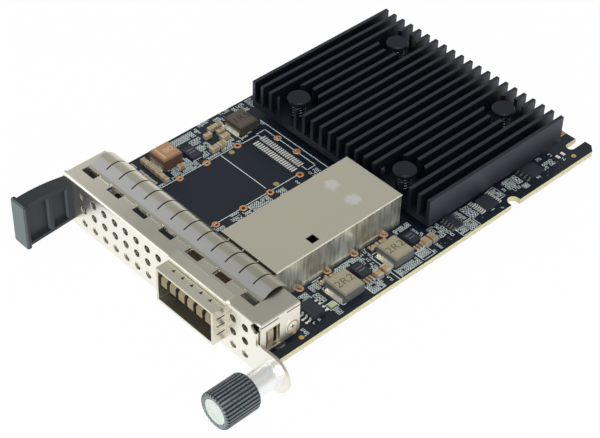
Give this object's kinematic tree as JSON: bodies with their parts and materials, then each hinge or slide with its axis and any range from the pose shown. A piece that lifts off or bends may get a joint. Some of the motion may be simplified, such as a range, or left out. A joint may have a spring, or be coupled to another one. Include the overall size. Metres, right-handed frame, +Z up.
{
  "type": "network interface card",
  "caption": "Server plug-in network card with a perforated folded faceplate, cage port, pull tab, captive thumbscrew and black finned heat sink on a gold card edge.",
  "frame": {"origin": "middle of the rear gold card edge, on the top face of the circuit board", "axes": "+X across the card to the right of someone facing the port, +Y the way the card is pushed into the server, +Z up from the component side"},
  "size_m": [0.0831, 0.1328, 0.017],
  "materials": {
    "laminate": "satin",
    "gold": "satin",
    "copper": "satin",
    "bracket_steel": "satin",
    "spring_steel": "satin",
    "bright_steel": "polished",
    "cage_steel": "satin",
    "black_anodised": "matte",
    "black_plastic": "matte",
    "knob_plastic": "matte",
    "pale_plastic": "matte",
    "black_steel": "satin",
    "chip_plastic": "matte",
    "ferrite": "matte",
    "copper_ferrite": "matte",
    "ceramic_tan": "satin",
    "solder": "satin",
    "thermal_gel": "matte"
  },
  "bodies": {
    "card": {"circuit_board": "laminate", "edge_contacts": "gold", "port_eyelets": "copper", "faceplate": "bracket_steel", "emi_finger_strip": "spring_steel", "side_spring": "spring_steel", "mounting_foot_left": "bracket_steel", "mounting_foot_right": "bracket_steel", "side_rivets": "bright_steel", "foot_screws": "bright_steel", "pull_tab": "black_plastic", "pull_tab_screws": "black_steel", "thumbscrew_ferrule": "bright_steel", "cage_shell": "cage_steel", "cage_floor": "cage_steel", "cage_pins": "cage_steel", "port_collar": "cage_steel", "port_fingers": "spring_steel", "module_connector": "black_plastic", "heat_sink": "black_anodised", "push_pins": "black_plastic", "push_pin_springs": "bright_steel", "chip_substrate": "laminate", "chip_lid": "bright_steel", "thermal_pad": "thermal_gel", "flash_chip": "chip_plastic", "buffer_chip": "chip_plastic", "chip_leads": "solder", "driver_chips": "chip_plastic", "ceramic_capacitors": "ceramic_tan", "decoupling_capacitors": "ceramic_tan", "inductor_front_right": "ferrite", "inductor_rear_right": "ferrite", "inductor_front_left": "copper_ferrite", "inductor_rear_left": "ferrite", "inductor_terminals": "solder"},
    "screw_carriage": {"thumbscrew_washer": "bright_steel", "thumbscrew_spring": "bright_steel"},
    "screw_knob": {"thumbscrew_knob": "knob_plastic", "thumbscrew_cap": "pale_plastic", "thumbscrew_shank": "black_steel"}
  },
  "joints": [
    {"name": "thumbscrew_travel", "type": "slide", "parent": "card", "child": "screw_carriage", "axis": [0, 1, 0], "range_m": [0, 0.0035], "stiffness_N_per_m": 300, "springref_m": -0.0005, "deforming": ["thumbscrew_spring"]},
    {"name": "thumbscrew_turn", "type": "hinge", "parent": "screw_carriage", "child": "screw_knob", "pos_m": [0.04, -0.127, 0], "axis": [0, 1, 0], "continuous": true}
  ]
}
